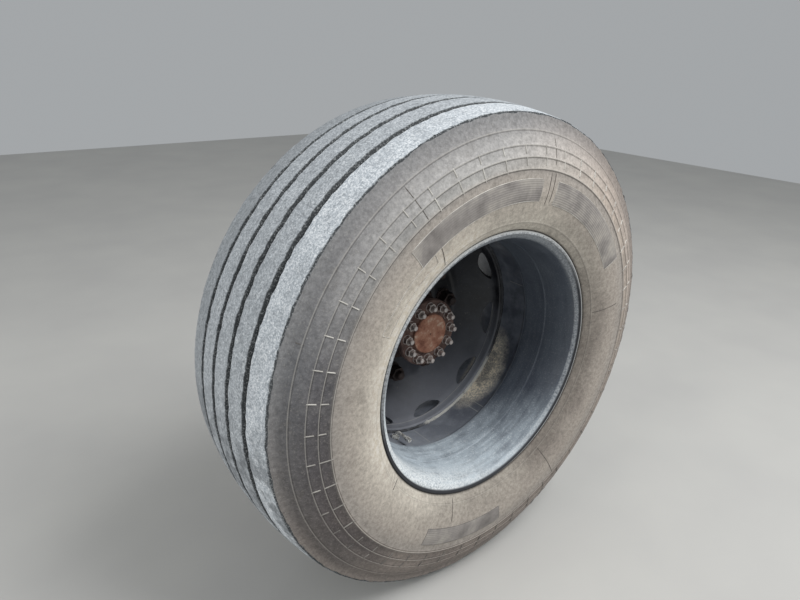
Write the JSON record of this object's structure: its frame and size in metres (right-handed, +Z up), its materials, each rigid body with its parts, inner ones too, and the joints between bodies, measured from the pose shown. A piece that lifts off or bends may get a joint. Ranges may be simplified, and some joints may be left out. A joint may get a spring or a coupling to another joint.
{
  "type": "truck wheel on its drive hub",
  "caption": "Wide single truck tyre on a deep-dish steel wheel, bolted to a drive hub with its brake drum and axle shaft; turns freely on a flanged axle end.",
  "frame": {"origin": "centre of the axle end's mounting flange, on its inboard face", "axes": "+Y along the axle, inboard; the dished outer side of the wheel faces -Y; +Z up"},
  "size_m": [1.0779, 0.6842, 1.0779],
  "materials": {
    "tyre_rubber": "dusty, worn",
    "painted_rim": "satin, dusty",
    "painted_disc": "satin, dusty",
    "rusty_casting": "rusty",
    "rusty_fastener": "dull, rusty",
    "valve_metal": "dull",
    "weight_metal": "satin"
  },
  "bodies": {
    "axle_end": {"spindle": "rusty_casting", "backing_plate": "painted_disc"},
    "wheel": {"tyre": "tyre_rubber", "rim": "painted_rim", "wheel_disc": "painted_disc", "wheel_studs": "rusty_fastener", "wheel_nuts": "rusty_fastener", "valve_stem": "valve_metal", "valve_cap": "valve_metal", "balance_weight": "weight_metal", "hub": "rusty_casting", "brake_drum": "rusty_casting", "axle_shaft": "rusty_casting", "drive_flange_studs": "rusty_fastener", "drive_flange_nuts": "rusty_fastener"}
  },
  "joints": [
    {"name": "wheel_spin", "type": "hinge", "parent": "axle_end", "child": "wheel", "pos_m": [0, -0.34, 0], "axis": [0, 1, 0], "continuous": true}
  ]
}
